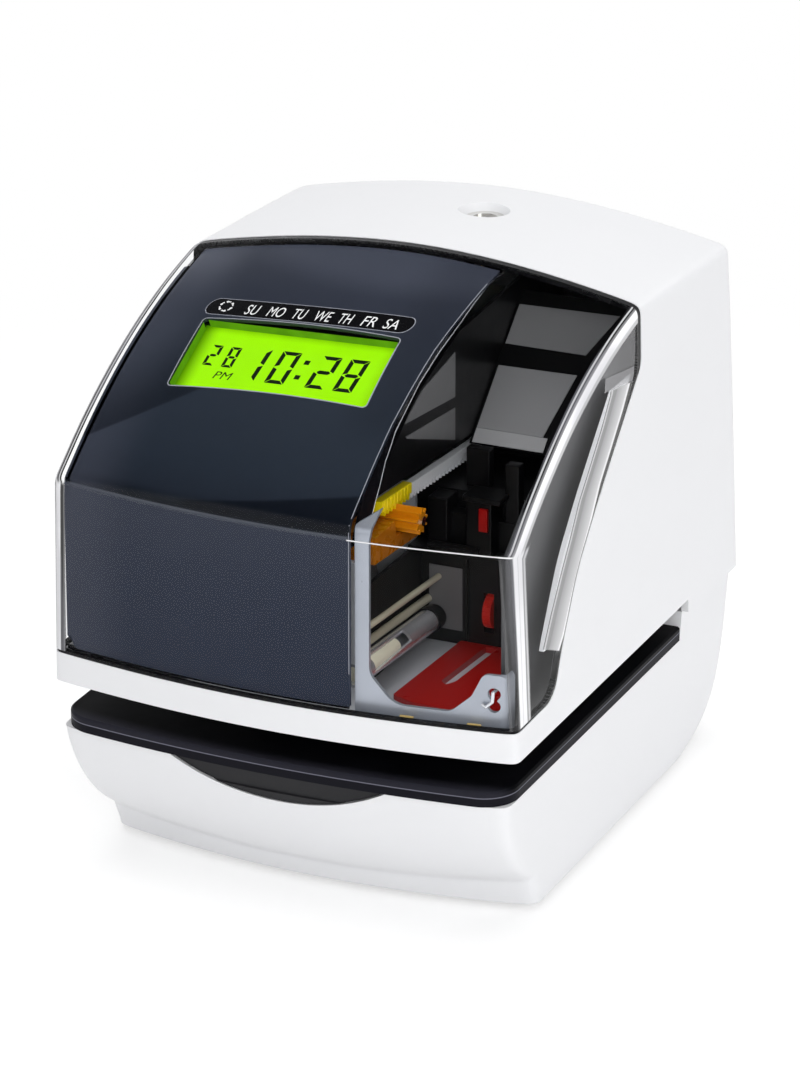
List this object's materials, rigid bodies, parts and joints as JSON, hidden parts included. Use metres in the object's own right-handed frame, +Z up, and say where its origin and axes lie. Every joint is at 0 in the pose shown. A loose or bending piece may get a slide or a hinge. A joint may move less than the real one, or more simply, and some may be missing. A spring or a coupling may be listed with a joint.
{
  "type": "date and time stamp machine",
  "caption": "Desk date and time stamp: white case with lit display under a clear cover, visible print bay, open paper throat over a black table.",
  "frame": {"origin": "on the desk, under the middle of the machine's bounding box", "axes": "+X to the right of the machine, +Y to its back (the paper throat opens to -Y), +Z up"},
  "size_m": [0.1502, 0.1849, 0.1779],
  "materials": {
    "housing": "satin off-white ABS",
    "clear": "clear polycarbonate",
    "seal": "black soft seal",
    "fascia": "glossy navy charcoal",
    "black": "fine textured black",
    "table": "satin near-black",
    "steel": "zinc plated sheet",
    "dark_steel": "dark grey paint",
    "bright": "polished rod",
    "bracket": "stamped, satin",
    "rack": "grey acetal",
    "yellow": "yellow",
    "orange": "amber orange",
    "red": "glossy red",
    "lcd": "lit yellow-green display",
    "light_guide": "diffusing light guide",
    "board": "green solder mask",
    "foot": "dark rubber",
    "brass": "turned",
    "button": "grey",
    "cell": "shrink sleeve",
    "clip": "amber clips",
    "cream": "natural acetal"
  },
  "bodies": {
    "chassis": {"latch_plate": "steel", "base_housing": "housing", "thumb_recess": "black", "base_plate": "black", "rubber_feet": "foot", "base_screws": "steel", "paper_table": "table", "platen_pad": "foot", "platen_anvil": "steel", "paper_stop": "black", "paper_sensor": "black", "frame_cheeks": "dark_steel", "frame_back": "steel", "head_plate": "steel", "guide_rods": "bright", "drive_motor": "steel", "drive_brackets": "dark_steel", "front_bracket": "bracket", "tension_hook": "bright", "tie_rods": "bright", "ribbon_tube": "bright", "tube_core": "cream", "tube_collar": "black", "ribbon_mask": "red", "bay_back": "black", "ribbon_cassette": "black", "mechanism_block": "black", "ribbon_flag": "red", "amber_guide": "orange", "bay_hood": "black", "bay_side": "black", "lcd_frame": "black", "lcd_glass": "lcd", "lcd_backlight": "light_guide", "display_board": "board", "display_bracket": "steel", "main_board": "board", "power_module": "steel", "backup_battery": "cell", "dc_inlet": "black"},
    "upper_case": {"upper_housing": "housing", "clear_cover": "clear", "cover_gasket": "seal", "fascia_panel": "fascia", "cover_clips": "clip", "lock_cylinder": "bright"},
    "key_lock": {"lock_plug": "bright", "lock_cam": "steel"},
    "carriage": {"carriage_block": "black", "print_head": "black", "rack_arm": "dark_steel", "rack_bar": "rack", "rack_tip": "yellow"},
    "pinion": {"drive_pinion": "orange", "pinion_shaft": "bright"},
    "ribbon_thumb_wheel": {"ribbon_wheel": "red"},
    "button_1": {"set_button_1": "button"},
    "button_2": {"set_button_2": "button"},
    "button_3": {"set_button_3": "button"},
    "button_4": {"set_button_4": "button"}
  },
  "joints": [
    {"name": "case_lift", "type": "slide", "parent": "chassis", "child": "upper_case", "axis": [0, 0, 1], "range_m": [0, 0.13]},
    {"name": "lock_turn", "type": "hinge", "parent": "upper_case", "child": "key_lock", "pos_m": [0.0043, 0.053, 0.16], "axis": [0, 0, 1], "range_deg": [0, 90]},
    {"name": "carriage_slide", "type": "slide", "parent": "chassis", "child": "carriage", "axis": [0, 0.998, -0.0628], "range_m": [-0.016, 0.003]},
    {"name": "pinion_spin", "type": "hinge", "parent": "chassis", "child": "pinion", "pos_m": [0.02, -0.051, 0.11546], "axis": [1, 0, 0], "range_deg": [-51, 271.7]},
    {"name": "ribbon_wheel_turn", "type": "hinge", "parent": "chassis", "child": "ribbon_thumb_wheel", "pos_m": [0.037, -0.0148, 0.0747], "axis": [1, 0, 0], "continuous": true},
    {"name": "set_button_1_press", "type": "slide", "parent": "chassis", "child": "button_1", "axis": [0.0454, 0.4442, -0.8948], "range_m": [0, 0.0004], "stiffness_N_per_m": 900, "springref_m": -0.0002},
    {"name": "set_button_2_press", "type": "slide", "parent": "chassis", "child": "button_2", "axis": [0.0454, 0.4442, -0.8948], "range_m": [0, 0.0004], "stiffness_N_per_m": 900, "springref_m": -0.0002},
    {"name": "set_button_3_press", "type": "slide", "parent": "chassis", "child": "button_3", "axis": [0.0454, 0.4442, -0.8948], "range_m": [0, 0.0004], "stiffness_N_per_m": 900, "springref_m": -0.0002},
    {"name": "set_button_4_press", "type": "slide", "parent": "chassis", "child": "button_4", "axis": [0.0454, 0.4442, -0.8948], "range_m": [0, 0.0004], "stiffness_N_per_m": 900, "springref_m": -0.0002}
  ],
  "couplings": [
    {"joint": "pinion_spin", "follows": "carriage_slide", "rad_per_m": -296.3}
  ]
}
